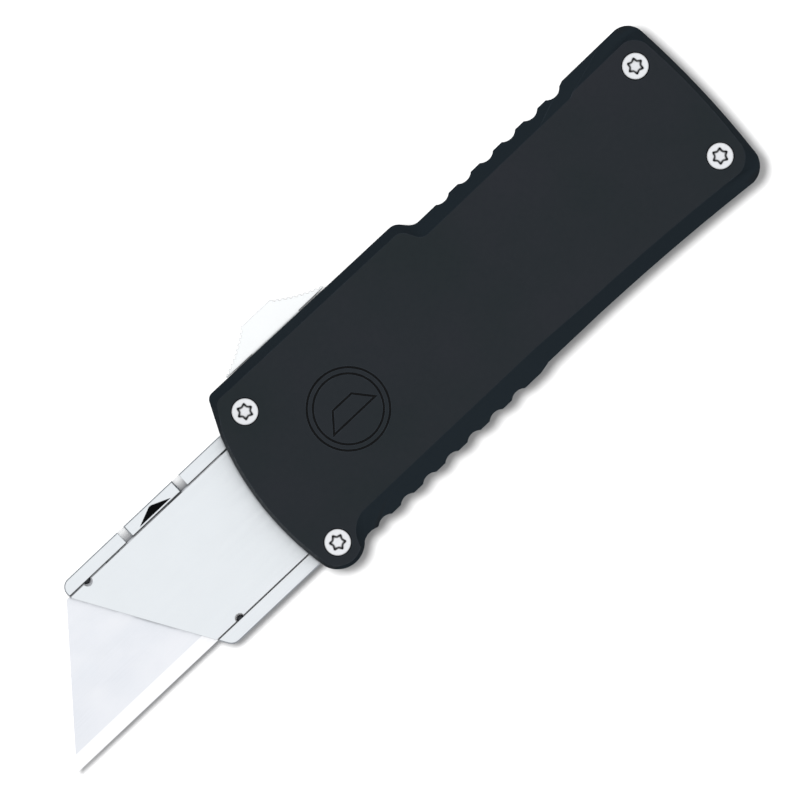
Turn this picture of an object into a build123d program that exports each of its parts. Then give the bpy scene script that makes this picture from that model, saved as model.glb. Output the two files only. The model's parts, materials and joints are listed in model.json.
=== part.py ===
from build123d import *
import os
from math import cos, radians, sin, tan

os.makedirs("parts", exist_ok=True)

# Sizes are in millimetres. Places are counted from the datum: x from the foremost point of the
# casing's mouth towards its tail, y from the carrier's centre line towards the thumb slide, and
# z from the casing's back face towards its front face. The knife is drawn with its blade out.

# ---------------------------------------------------------------- blade
BLADE_LENGTH = 61.0
BLADE_HEIGHT = 18.7
BLADE_THICKNESS = 0.63
BLADE_END_ANGLE = 50.0
GROUND_BAND = 2.0
EDGE_THICKNESS = 0.06
NOTCH_SPACING = 12.0
NOTCH_WIDTH = 2.6
NOTCH_DEPTH = 1.55
BLADE_REACH = 44.5

# ---------------------------------------------------------------- clearances
SLIDE_FIT = 0.15
LAYER_FIT = 0.1
LOOSE_FIT = 0.05
THREAD_FIT = 0.02
FACE_FIT = 0.05

# How far a cut runs past the face it opens, and a block into the one it joins
OVERCUT = 1.0
EMBED = 0.2

# ---------------------------------------------------------------- carrier
RAIL_UPPER = 1.9
RAIL_LOWER = 2.05
SPINE_GAP = 0.1
EDGE_GAP = 0.05
FLOOR_THICKNESS = 1.5
PLATE_THICKNESS = 1.35
PLATE_UPPER_GAP = 0.25
PLATE_LOWER_GAP = 0.2
SLANT_ANGLE = 59.4
NOSE_REACH = 28.25
NOSE_DROP = 2.2
NOSE_RADIUS = 1.5
CHIN_RADIUS = 1.7
PLATE_TAIL = 7.1
TAIL_BLOCK = 15.0
BLADE_STANDOFF = 0.1
EAR_LENGTH = 2.6
EAR_HEIGHT = 0.9
LUG_LENGTH = 2.6
LUG_INSET = 0.2
LUG_WIDTH = 2.0
LUG_CLEAR = 0.45
EDGE_CHAMFER = 0.15
PIN_RADIUS = 0.6
PIN_DEPTH = 1.35
UPPER_PIN_X = -24.9
LOWER_PIN_X = -12.9
PLATE_SCREW_INSET = 3.5
PLATE_SCREW_SPREAD = 6.0
PLATE_SCREW_HEAD = 1.5
PLATE_SCREW_HEAD_HEIGHT = 0.8
PLATE_SCREW_SHANK = 0.8
PLATE_SCREW_LENGTH = 3.0

# ---------------------------------------------------------------- release button
BUTTON_LENGTH = 9.3
BUTTON_GAP = 1.25
BUTTON_TAIL_GAP = 0.05
BUTTON_STROKE = 0.8
TOOTH_HEIGHT = 0.53
POST_RADIUS = 0.45
POST_HEIGHT = 1.5
POST_INSET = 1.4
POST_BORE_DEPTH = 1.5
ICON_WIDTH = 5.9
ICON_HEIGHT = 1.15
ICON_TOP = 0.4
ICON_DROP = 0.1
ICON_DEPTH = 0.12
SPRING_LEAF = 0.15
RELEASE_SPRING_WIDTH = 1.3

# ---------------------------------------------------------------- firing mechanism
THUMB_TRAVEL = 11.0
TIP_INSET = 1.6
HOOK_LENGTH = 2.55
HOOK_HALF_WIDTH = 6.0
SLIDER_HALF_WIDTH = 7.0
SLIDER_ROOF = 0.7
SPRING_DIAMETER = 3.1
SPRING_WIRE = 0.7
SPRING_PITCH = 1.5
SPIGOT_LENGTH = 2.9
SPRING_CLEAR = 0.125
BAR_THICKNESS = 1.85
ARM_WIDTH = 1.8
ARM_THICKNESS = 0.85
BAR_OVERHANG = 0.8
BAR_OVERLAP = 10.0
CAM_OVERRUN = 0.45
CAM_LIFT = 1.25
CAM_FLAT = 3.5
CAM_RAMP = 3.0
REAR_CAM_FLAT = 1.8
REAR_CAM_RAMP = 2.1

# ---------------------------------------------------------------- locks
LEAF_THICKNESS = 0.35
LEAF_WIDTH = 2.1
LEAF_LENGTH = 22.5
LEAF_PAD = 5.4
LEAF_TAB_FROM = 12.1
LEAF_TAB_LENGTH = 1.5
LEAF_TAB_GAP = 0.4
LEAF_TOOTH = 0.8
LEAF_TOOTH_DROP = 1.95
LEAF_SAG = 1.25
LEDGE_HEIGHT = 2.0
LEDGE_WIDTH = 2.45
LOCK_SCREW_HEAD = 1.1
LOCK_SCREW_HEAD_HEIGHT = 0.9
LOCK_SCREW_SHANK = 0.6
LOCK_SCREW_LENGTH = 1.7
LOCK_NOTCH_INSET = 4.6
LOCK_NOTCH_CLEARANCE = 0.3
LOCK_NOTCH_DEPTH = 1.2

# ---------------------------------------------------------------- thumb slide
THUMB_BASE_FRONT_X = 8.9
THUMB_BASE_LENGTH = 18.5
THUMB_TOP_FRONT = 6.3
THUMB_TOP_LENGTH = 5.5
THUMB_RISE = 3.8
THUMB_LIP = 0.25
THUMB_HOLLOW = 0.32
THUMB_WIDTH = 7.4
THUMB_GAP = 0.1
THUMB_GROOVES = 9
GROOVE_INSET = 0.8
THUMB_GROOVE_RADIUS = 0.24
NECK_FRONT_X = 13.7
NECK_LENGTH = 9.0
FOOT_WIDTH = 3.85
FOOT_OVERHANG = 0.7
THUMB_SCREW_INSET = 2.4
THUMB_SCREW_HEAD = 1.3
THUMB_SCREW_HEAD_HEIGHT = 0.9
THUMB_SCREW_SHANK = 0.75
THUMB_SCREW_LENGTH = 3.2

# ---------------------------------------------------------------- casing
BACK_WALL = 2.2
COVER_THICKNESS = 2.4
BRIDGE_GAP = 0.8
TAIL_WALL = 7.3
BEVEL_DEPTH = 1.6
HEAD_RISE = 5.1
HEAD_REAR_RISE = 4.85
GRIP_RISE = 2.7
GRIP_REAR_RISE = 2.85
TAIL_RISE = 3.35
BELLY_DROP = 1.7
WAIST_DROP = 1.3
HEEL_DROP = 2.7
HEAD_FRONT_X = 5.95
HEAD_REAR_X = 39.7
GRIP_FRONT_X = 43.5
GRIP_REAR_INSET = 14.3
TAIL_FRONT_INSET = 13.4
TAIL_SLOPE = 0.1
HIP_INSET = 3.2
SHOULDER_DROP = 2.6
HEEL_INSET = 3.6
HEEL_HEIGHT = 3.4
HEEL_SWEEP = 0.27
WAIST_REAR_X = 53.2
WAIST_FRONT_X = 43.2
BELLY_REAR_X = 41.4
BELLY_FRONT_X = 9.9
LOBE_ROOT_RADIUS = 2.9
LOBE_ROOT_ANGLE = -40
LOBE_NOSE_ANGLE = -160
MOUTH_TOP_X = 2.8
MOUTH_TOP_RISE = 0.2
BROW_X = 4.75
BROW_DROP = 0.8
BROW_RADIUS = 1.25

# How much of its bevel's width draws in each corner of the casing's flat face
HEAD_CORNER_SHARE = 0.3
STEP_SHARE = 0.1
HIP_SHARE = 0.4
SHOULDER_SHARE = 0.8
HEEL_SIDE_SHARE = 0.7
HEEL_BASE_SHARE = 0.6
LOBE_ROOT_SHARE = 0.5
LOBE_ROOT_TURN = 5.0
BROW_SHARE = 0.7
BROW_HEIGHT_SHARE = 0.9

CORNER_RADIUS = 2.9
HEEL_RADIUS = 3.3
TAIL_BOW = 0.48
MOUTH_BOW = 1.68
LOBE_X = 4.4
LOBE_RADIUS = 3.8
LOBE_RISE = 0.6
SCALLOP_RADIUS = 1.9
SCALLOP_DEPTH = 0.48
SCALLOP_PITCH = 4.27
BELLY_SCALLOP_X = 11.4
BELLY_SCALLOPS = 7
GRIP_SCALLOP_X = 48.0
GRIP_SCALLOPS = 6
GRIP_SCALLOP_LIFT = 0.05
MOUTH_BEVEL = 0.5
HEAD_BEVEL = 1.4
GRIP_BEVEL = 2.2
TAIL_BEVEL = 0.8
BELLY_BEVEL = 3.1
HEEL_BEVEL = 2.3

# ---------------------------------------------------------------- casing fasteners
SCREW_HEAD = 1.85
SCREW_HEAD_HEIGHT = 1.25
SCREW_SHANK = 1.0
SCREW_LENGTH = 5.2
SCREW_SUNK = 0.08
SCREW_RING = 0.17
SOCKET_RADIUS = 1.32
SOCKET_DEPTH = 0.7
SOCKET_WAIST = 0.66
SOCKET_ROUNDING = 0.17
SOCKET_DRAFT = 19
SOCKET_SHARE = 0.8
SOCKET_POINTS = 6
DOWEL_RADIUS = 0.9
DOWEL_LENGTH = 3.0
HEAD_SCREW_X = 7.5
TAIL_SCREW_INSET = 4.5
TAIL_SCREW_UPPER = 2.3
TAIL_SCREW_LOWER = 3.2
# Turn of each cover screw's socket once driven home, in degrees, in the order of COVER_SCREWS
SCREW_TURNS = (-4, 25, 1, -9)
FRONT_DOWEL_X = 6.5
REAR_DOWEL_INSET = 2.4

# ---------------------------------------------------------------- mark on the front cover
MARK_X = 18.3
MARK_RISE = 1.7
MARK_RADIUS = 6.0
MARK_LINE = 0.32
MARK_GAP = 0.55
MARK_DEPTH = 0.22
MARK_BLADE_LENGTH = 8.6
MARK_BLADE_HEIGHT = 2.9

# ---------------------------------------------------------------- pocket clip
CLIP_THICKNESS = 1.1
CLIP_LENGTH = 64.0
CLIP_TAB = 9.5
CLIP_WIDTH = 9.6
CLIP_TAB_WIDTH = 11.5
CLIP_Y = 0.7
CLIP_GAP = 2.1
CLIP_END_INSET = 0.9
CLIP_RAMP = 5.0
CLIP_CROWN = 18.0
CLIP_LIP = 4.2
CLIP_TOUCH_GAP = 0.15
CLIP_SCREW_INSET = 2.6
CLIP_SCREW_SPREAD = 3.4
CLIP_SCREW_HEAD_HEIGHT = 0.8
CLIP_SCREW_LENGTH = 4.0
CLIP_BEND = 3.0
CLIP_TOUCH_RUN = 9.0
CLIP_SETTLE = 0.8
CLIP_NECK_SHIFT = 1.0
CLIP_TIP_TAPER = 0.3
CLIP_TIP_CHAMFER = 0.9
CLIP_CORNER = 1.6

# ---------------------------------------------------------------- bumper
BUMPER_HALF_WIDTH = 6.0
BUMPER_STAND = 1.0
BUMPER_ROUNDING = 0.4

# ---------------------------------------------------------------- worked-out heights, z
CARRIER_BACK = BACK_WALL + LAYER_FIT
CARRIER_FLOOR = CARRIER_BACK + FLOOR_THICKNESS
BLADE_BACK = CARRIER_FLOOR + LOOSE_FIT
BLADE_FRONT = BLADE_BACK + BLADE_THICKNESS
PLATE_BACK = BLADE_FRONT + LOOSE_FIT + THREAD_FIT
CARRIER_FRONT = PLATE_BACK + PLATE_THICKNESS
TUNNEL_FRONT = CARRIER_FRONT + LAYER_FIT
SLIDER_LAYER = SPRING_DIAMETER + 2 * SPRING_CLEAR + SLIDER_ROOF + SLIDE_FIT - LAYER_FIT
COVER_BACK = TUNNEL_FRONT + SLIDER_LAYER
FACE_Z = COVER_BACK + COVER_THICKNESS
SLIDER_BACK = TUNNEL_FRONT + SLIDE_FIT
SLIDER_FRONT = COVER_BACK - SLIDE_FIT
ROOF_BACK = SLIDER_FRONT - SLIDER_ROOF
SPRING_Z = (CARRIER_FRONT + ROOF_BACK) / 2
BAR_FRONT = SLIDER_BACK + BAR_THICKNESS
LEDGE_FRONT = TUNNEL_FRONT + LEDGE_HEIGHT
CLIP_BACK = -CLIP_GAP - CLIP_THICKNESS
CASE_MIDDLE = FACE_Z / 2

# ---------------------------------------------------------------- worked-out places, y
CARRIER_HEIGHT = RAIL_LOWER + EDGE_GAP + BLADE_HEIGHT + SPINE_GAP + RAIL_UPPER
CARRIER_TOP = CARRIER_HEIGHT / 2
CARRIER_LOW = -CARRIER_HEIGHT / 2
RAIL_TOP_INNER = CARRIER_TOP - RAIL_UPPER
RAIL_LOW_INNER = CARRIER_LOW + RAIL_LOWER
SPINE_Y = RAIL_TOP_INNER - SPINE_GAP
EDGE_Y = RAIL_LOW_INNER + EDGE_GAP
PLATE_TOP = RAIL_TOP_INNER - PLATE_UPPER_GAP
PLATE_LOW = RAIL_LOW_INNER + PLATE_LOWER_GAP
WALL_TOP = CARRIER_TOP + SLIDE_FIT
WALL_LOW = CARRIER_LOW - SLIDE_FIT
HEAD_Y = CARRIER_TOP + HEAD_RISE
HEAD_REAR_Y = CARRIER_TOP + HEAD_REAR_RISE
GRIP_Y = CARRIER_TOP + GRIP_RISE
GRIP_REAR_Y = CARRIER_TOP + GRIP_REAR_RISE
TAIL_Y = CARRIER_TOP + TAIL_RISE
BELLY_Y = CARRIER_LOW - BELLY_DROP
WAIST_Y = CARRIER_LOW - WAIST_DROP
HEEL_Y = CARRIER_LOW - HEEL_DROP
LOBE_Y = CARRIER_LOW + LOBE_RISE
THUMB_BASE_Y = HEAD_Y + THUMB_GAP
THUMB_TOP_Y = THUMB_BASE_Y + THUMB_RISE
LEAF_LOW = WALL_LOW + SLIDE_FIT + THREAD_FIT
LEAF_HIGH = LEAF_LOW + LEAF_WIDTH
BUTTON_Y = (RAIL_TOP_INNER + CARRIER_TOP) / 2
LUG_INNER = SPRING_DIAMETER / 2 + LUG_CLEAR
LUG_OUTER = LUG_INNER + LUG_WIDTH
SPIGOT_RADIUS = SPRING_DIAMETER / 2 - SPRING_WIRE - LOOSE_FIT
BAR_Y = (SLIDER_HALF_WIDTH, CARRIER_TOP - SLIDE_FIT)
ARM_Y = (-SLIDER_HALF_WIDTH - ARM_WIDTH, -SLIDER_HALF_WIDTH)
LEAF_TAB_WIDTH = ARM_Y[1] - LEAF_TAB_GAP - LEAF_HIGH
MARK_Y = (SPINE_Y + EDGE_Y) / 2 + MARK_RISE

# ---------------------------------------------------------------- worked-out places, x
TIP_X = -BLADE_REACH
BLADE_REAR_X = TIP_X + BLADE_LENGTH
BLADE_MIDDLE_X = (TIP_X + BLADE_REAR_X) / 2
BLADE_END_RUN = BLADE_HEIGHT / tan(radians(BLADE_END_ANGLE))
NOTCH_X = BLADE_MIDDLE_X + NOTCH_SPACING / 2
CARRIER_TRAVEL = BLADE_REACH + TIP_INSET
PLATE_REAR_X = BLADE_REAR_X + PLATE_TAIL
TAIL_X = BLADE_REAR_X + TAIL_BLOCK
BUMPER_FRONT_X = TAIL_X + CARRIER_TRAVEL + LAYER_FIT
CAVITY_REAR_X = BUMPER_FRONT_X + BUMPER_STAND
LUG_REAR_X = TAIL_X - LUG_INSET
LUG_FRONT_X = LUG_REAR_X - LUG_LENGTH
EAR_FRONT_X = TAIL_X - EAR_LENGTH
SLIDER_FRONT_X = LUG_FRONT_X
SLIDER_REAR_X = LUG_REAR_X + CARRIER_TRAVEL - THUMB_TRAVEL
HOOK_REAR_X = SLIDER_REAR_X + FACE_FIT + HOOK_LENGTH
POCKET_REAR_X = HOOK_REAR_X + THUMB_TRAVEL + SLIDE_FIT
REAR_X = TAIL_X + CARRIER_TRAVEL + TAIL_WALL
BUTTON_REAR_X = NOTCH_X + NOTCH_WIDTH / 2
BUTTON_FRONT_X = BUTTON_REAR_X - BUTTON_LENGTH
GRIP_REAR_X = REAR_X - GRIP_REAR_INSET
TAIL_FRONT_X = REAR_X - TAIL_FRONT_INSET
FRONT_LOCK_X = TAIL_X + SLIDE_FIT + LEAF_TOOTH - LEAF_LENGTH
REAR_LOCK_X = FRONT_LOCK_X + CARRIER_TRAVEL - LOCK_NOTCH_INSET
TAB_FRONT_X = FRONT_LOCK_X + LEAF_TAB_FROM
LOCK_NOTCH_X = REAR_LOCK_X + LEAF_LENGTH - LEAF_TOOTH - CARRIER_TRAVEL
CAM_X = TAB_FRONT_X - THUMB_TRAVEL - CAM_OVERRUN
BAR_FRONT_X = NECK_FRONT_X - FOOT_OVERHANG - BAR_OVERHANG
BRIDGE_X = min(BAR_FRONT_X, CAM_X) - BRIDGE_GAP
CLIP_END_X = REAR_X - CLIP_END_INSET
CLIP_FRONT_X = CLIP_END_X - CLIP_LENGTH

# ---------------------------------------------------------------- the knife's own frame
# The origin lies under the middle of the knife, level with its lowest point.
MIDDLE_X = (TIP_X + REAR_X) / 2
MIDDLE_Y = (LOBE_Y - LOBE_RADIUS + THUMB_TOP_Y) / 2


def level(z, x=0, y=0):
    """Plane parallel to the casing's faces, looking forwards out of the front face."""
    return Plane(origin=(x - MIDDLE_X, y - MIDDLE_Y, z - CLIP_BACK), x_dir=(1, 0, 0), z_dir=(0, 0, 1))


def underside(z, x=0, y=0):
    """Plane parallel to the casing's faces, looking out of the back face."""
    return Plane(origin=(x - MIDDLE_X, y - MIDDLE_Y, z - CLIP_BACK), x_dir=(1, 0, 0), z_dir=(0, 0, -1))


def flank(y, x=0, z=0):
    """Plane facing the belly of the casing; its own x is x and its own y is z."""
    return Plane(origin=(x - MIDDLE_X, y - MIDDLE_Y, z - CLIP_BACK), x_dir=(1, 0, 0), z_dir=(0, -1, 0))


def station(x, y=0, z=0):
    """Plane square to the blade's travel; its own x is y and its own y is z."""
    return Plane(origin=(x - MIDDLE_X, y - MIDDLE_Y, z - CLIP_BACK), x_dir=(0, 1, 0), z_dir=(1, 0, 0))


def block(x, y, z, mode=Mode.ADD):
    """Box between two x, two y and two z places."""
    with BuildSketch(level(z[0], sum(x) / 2, sum(y) / 2)) as base:
        Rectangle(x[1] - x[0], y[1] - y[0])
    extrude(base.sketch, amount=z[1] - z[0], mode=mode)


def rod(plane, radius, length, mode=Mode.ADD):
    """Cylinder standing on a plane, or hanging from it where the length is negative."""
    with BuildSketch(plane) as section:
        Circle(radius)
    extrude(section.sketch, amount=length, mode=mode)


def screw(seat, head_radius, head_height, shank_radius, length):
    """Flat-headed screw under a plane, with a six-pointed socket."""
    with BuildSketch(seat) as head:
        Circle(head_radius)
    extrude(head.sketch, amount=-head_height)
    rod(seat, shank_radius, -length)
    scale = head_radius / SCREW_HEAD
    points = []
    for i in range(2 * SOCKET_POINTS):
        reach = SOCKET_RADIUS * scale * (1 if i % 2 == 0 else SOCKET_WAIST)
        turn = radians(180 * i / SOCKET_POINTS)
        points.append((reach * cos(turn), reach * sin(turn)))
    with BuildSketch(seat) as socket:
        Polygon(*points, align=None)
        fillet(socket.vertices(), SOCKET_ROUNDING * scale)
    depth = min(SOCKET_DEPTH * scale, head_height * SOCKET_SHARE)
    extrude(socket.sketch, amount=-depth, taper=SOCKET_DRAFT, mode=Mode.SUBTRACT)


# ---------------------------------------------------------------- casing
def case_outline(z, mouth=0, head=0, grip=0, tail=0, belly=0, heel=0):
    """Outline of the casing at a height, each side of it drawn in by its own bevel width."""
    lobe = LOBE_RADIUS - mouth
    root_angle = radians(LOBE_ROOT_ANGLE - LOBE_ROOT_TURN * belly)
    nose_angle = radians(LOBE_NOSE_ANGLE)
    lobe_rear = (LOBE_X + lobe * cos(root_angle), LOBE_Y + lobe * sin(root_angle))
    lobe_front = (LOBE_X + lobe * cos(nose_angle), LOBE_Y + lobe * sin(nose_angle))
    step_in = grip * STEP_SHARE
    end_x = REAR_X - TAIL_BOW - tail
    with BuildSketch(level(z)) as outline:
        with BuildLine():
            head_front = (HEAD_FRONT_X + mouth * HEAD_CORNER_SHARE, HEAD_Y - head)
            top = Line(head_front, (HEAD_REAR_X - step_in, HEAD_REAR_Y - head))
            step = Spline(top @ 1, (GRIP_FRONT_X - step_in, GRIP_Y - grip), tangents=[(1, 0), (1, 0)])
            rest = Line(step @ 1, (GRIP_REAR_X, GRIP_REAR_Y - grip))
            rise = Line(rest @ 1, (TAIL_FRONT_X, TAIL_Y - TAIL_SLOPE - grip))
            hip = Line(rise @ 1, (REAR_X - HIP_INSET - tail * HIP_SHARE, TAIL_Y - grip))
            shoulder_end = (end_x, TAIL_Y - SHOULDER_DROP - grip * SHOULDER_SHARE)
            shoulder = RadiusArc(hip @ 1, shoulder_end, CORNER_RADIUS)
            end = SagittaArc(shoulder @ 1, (end_x, HEEL_Y + HEEL_HEIGHT + heel * HEEL_SIDE_SHARE), TAIL_BOW)
            heel_end = (REAR_X - HEEL_INSET - tail * HEEL_BASE_SHARE, HEEL_Y + heel)
            heel_arc = RadiusArc(end @ 1, heel_end, HEEL_RADIUS)
            sweep_in = SagittaArc(heel_arc @ 1, (WAIST_REAR_X, WAIST_Y + heel), -HEEL_SWEEP)
            waist = Line(sweep_in @ 1, (WAIST_FRONT_X, WAIST_Y + (heel + belly) / 2))
            kick = Line(waist @ 1, (BELLY_REAR_X, BELLY_Y + belly))
            belly_line = Line(kick @ 1, (BELLY_FRONT_X, BELLY_Y + belly))
            root = RadiusArc(belly_line @ 1, lobe_rear, -LOBE_ROOT_RADIUS - belly * LOBE_ROOT_SHARE)
            nose = RadiusArc(root @ 1, lobe_front, lobe)
            mouth_top = (MOUTH_TOP_X + mouth, CARRIER_TOP + MOUTH_TOP_RISE)
            front = SagittaArc(nose @ 1, mouth_top, MOUTH_BOW)
            brow_top = (BROW_X + mouth * BROW_SHARE, HEAD_Y - BROW_DROP - head * BROW_HEIGHT_SHARE)
            brow = Line(front @ 1, brow_top)
            RadiusArc(brow @ 1, top @ 0, BROW_RADIUS)
        make_face()
    return outline.sketch


def case_edge(z):
    """Outline of the casing where it is widest."""
    return case_outline(z)


def case_face(z):
    """Outline of the flat of the casing inside its bevels."""
    return case_outline(z, MOUTH_BEVEL, HEAD_BEVEL, GRIP_BEVEL, TAIL_BEVEL, BELLY_BEVEL, HEEL_BEVEL)


def scallops(mode=Mode.SUBTRACT):
    """Finger scallops along the belly and the grip, through the whole thickness."""
    sink = SCALLOP_RADIUS - SCALLOP_DEPTH
    with BuildSketch(level(0)) as bites:
        for i in range(BELLY_SCALLOPS):
            with Locations((BELLY_SCALLOP_X + i * SCALLOP_PITCH, BELLY_Y - sink)):
                Circle(SCALLOP_RADIUS)
        for i in range(GRIP_SCALLOPS):
            with Locations((GRIP_SCALLOP_X + i * SCALLOP_PITCH, GRIP_Y + sink + GRIP_SCALLOP_LIFT)):
                Circle(SCALLOP_RADIUS)
    extrude(bites.sketch, amount=FACE_Z, mode=mode)


COVER_SCREWS = [
    (HEAD_SCREW_X, CARRIER_TOP),
    (LOBE_X, LOBE_Y),
    (REAR_X - TAIL_SCREW_INSET, CARRIER_TOP - TAIL_SCREW_UPPER),
    (REAR_X - TAIL_SCREW_INSET, CARRIER_LOW + TAIL_SCREW_LOWER),
]
COVER_DOWELS = [(FRONT_DOWEL_X, 0), (REAR_X - REAR_DOWEL_INSET, 0)]
CLIP_SCREWS = [
    (REAR_X - CLIP_SCREW_INSET, CLIP_Y - CLIP_SCREW_SPREAD),
    (REAR_X - CLIP_SCREW_INSET, CLIP_Y + CLIP_SCREW_SPREAD),
]
THUMB_SCREWS = [
    (NECK_FRONT_X + THUMB_SCREW_INSET, CARRIER_TOP - FOOT_WIDTH / 2),
    (NECK_FRONT_X + NECK_LENGTH - THUMB_SCREW_INSET, CARRIER_TOP - FOOT_WIDTH / 2),
]
LOCK_SCREWS = [
    (FRONT_LOCK_X + LEAF_PAD / 2, (LEAF_LOW + LEAF_HIGH) / 2),
    (REAR_LOCK_X + LEAF_PAD / 2, (LEAF_LOW + LEAF_HIGH) / 2),
]

with BuildPart() as casing_body:
    loft([case_face(0), case_edge(BEVEL_DEPTH)], ruled=True)
    extrude(case_edge(BEVEL_DEPTH), amount=COVER_BACK - BEVEL_DEPTH)
    scallops()
    tunnel_z = (BACK_WALL, TUNNEL_FRONT)
    block((-OVERCUT, CAVITY_REAR_X), (WALL_LOW, WALL_TOP), tunnel_z, Mode.SUBTRACT)
    block((EAR_FRONT_X - LAYER_FIT, CAVITY_REAR_X), (0, WALL_TOP + EAR_HEIGHT), tunnel_z, Mode.SUBTRACT)
    block((BRIDGE_X, CAVITY_REAR_X), (WALL_LOW, WALL_TOP), (TUNNEL_FRONT, COVER_BACK), Mode.SUBTRACT)
    pocket_half = HOOK_HALF_WIDTH + SLIDE_FIT
    pocket_x = (BUMPER_FRONT_X, POCKET_REAR_X)
    block(pocket_x, (-pocket_half, pocket_half), (BACK_WALL, COVER_BACK), Mode.SUBTRACT)
    slot = (NECK_FRONT_X - SLIDE_FIT, NECK_FRONT_X + NECK_LENGTH + THUMB_TRAVEL + SLIDE_FIT)
    block(slot, (CARRIER_TOP, THUMB_BASE_Y + OVERCUT), (TUNNEL_FRONT, COVER_BACK), Mode.SUBTRACT)
    ledge_y = (WALL_LOW - EMBED, WALL_LOW + LEDGE_WIDTH)
    block((BRIDGE_X - EMBED, FRONT_LOCK_X + LEAF_PAD), ledge_y, (TUNNEL_FRONT, LEDGE_FRONT))
    block((REAR_LOCK_X, REAR_LOCK_X + LEAF_PAD), ledge_y, (TUNNEL_FRONT, LEDGE_FRONT))
    for x, y in COVER_SCREWS:
        screw_end = SCREW_HEAD_HEIGHT - SCREW_LENGTH
        rod(level(COVER_BACK, x, y), SCREW_SHANK + THREAD_FIT, screw_end, Mode.SUBTRACT)
    for x, y in COVER_DOWELS:
        rod(level(COVER_BACK, x, y), DOWEL_RADIUS + THREAD_FIT, -DOWEL_LENGTH / 2 - LAYER_FIT, Mode.SUBTRACT)
    for x, y in CLIP_SCREWS:
        rod(level(0, x, y), SCREW_SHANK + THREAD_FIT, CLIP_SCREW_LENGTH, Mode.SUBTRACT)
    for x, y in LOCK_SCREWS:
        rod(level(LEDGE_FRONT, x, y), LOCK_SCREW_SHANK + THREAD_FIT, -LOCK_SCREW_LENGTH, Mode.SUBTRACT)
casing_body.part.label = "casing_body"
export_step(casing_body.part, "parts/casing_body.step")


def mark_shape():
    """Generic mark: a double ring round the outline of a plain trapezoid blade."""
    with BuildSketch(level(FACE_Z, MARK_X, MARK_Y)) as mark:
        Circle(MARK_RADIUS)
        Circle(MARK_RADIUS - MARK_LINE, mode=Mode.SUBTRACT)
        Circle(MARK_RADIUS - MARK_LINE - MARK_GAP)
        Circle(MARK_RADIUS - 2 * MARK_LINE - MARK_GAP, mode=Mode.SUBTRACT)
        Trapezoid(MARK_BLADE_LENGTH, MARK_BLADE_HEIGHT, BLADE_END_ANGLE)
        inner_length = MARK_BLADE_LENGTH - 2 * MARK_LINE / tan(radians(BLADE_END_ANGLE / 2))
        inner_height = MARK_BLADE_HEIGHT - 2 * MARK_LINE
        Trapezoid(inner_length, inner_height, BLADE_END_ANGLE, mode=Mode.SUBTRACT)
    return mark.sketch


with BuildPart() as front_cover:
    extrude(case_edge(COVER_BACK), amount=COVER_THICKNESS - BEVEL_DEPTH)
    loft([case_edge(FACE_Z - BEVEL_DEPTH), case_face(FACE_Z)], ruled=True)
    scallops()
    for x, y in COVER_SCREWS:
        head_depth = SCREW_HEAD_HEIGHT + SCREW_SUNK
        rod(level(FACE_Z, x, y), SCREW_HEAD + SCREW_RING, -head_depth, Mode.SUBTRACT)
        rod(level(FACE_Z, x, y), SCREW_SHANK + LOOSE_FIT, -COVER_THICKNESS, Mode.SUBTRACT)
    for x, y in COVER_DOWELS:
        rod(level(COVER_BACK, x, y), DOWEL_RADIUS + THREAD_FIT, DOWEL_LENGTH / 2 + LAYER_FIT, Mode.SUBTRACT)
    extrude(mark_shape(), amount=-MARK_DEPTH, mode=Mode.SUBTRACT)
front_cover.part.label = "front_cover"
export_step(front_cover.part, "parts/front_cover.step")

with BuildPart() as cover_screws:
    for (x, y), turn in zip(COVER_SCREWS, SCREW_TURNS):
        seat = level(FACE_Z - SCREW_SUNK, x, y).rotated((0, 0, turn))
        screw(seat, SCREW_HEAD, SCREW_HEAD_HEIGHT, SCREW_SHANK, SCREW_LENGTH)
cover_screws.part.label = "cover_screws"
export_step(cover_screws.part, "parts/cover_screws.step")

with BuildPart() as cover_dowels:
    for x, y in COVER_DOWELS:
        rod(level(COVER_BACK - DOWEL_LENGTH / 2, x, y), DOWEL_RADIUS, DOWEL_LENGTH)
cover_dowels.part.label = "cover_dowels"
export_step(cover_dowels.part, "parts/cover_dowels.step")

# The bumper stands in the pocket behind the retracted carrier.
with BuildPart() as rear_bumper:
    bumper_x = (BUMPER_FRONT_X, POCKET_REAR_X - FACE_FIT)
    bumper_z = (BACK_WALL + LOOSE_FIT, CARRIER_FRONT - LAYER_FIT)
    block(bumper_x, (-BUMPER_HALF_WIDTH, BUMPER_HALF_WIDTH), bumper_z)
    fillet(rear_bumper.edges().filter_by(Axis.Z), BUMPER_ROUNDING)
rear_bumper.part.label = "rear_bumper"
export_step(rear_bumper.part, "parts/rear_bumper.step")

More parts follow.
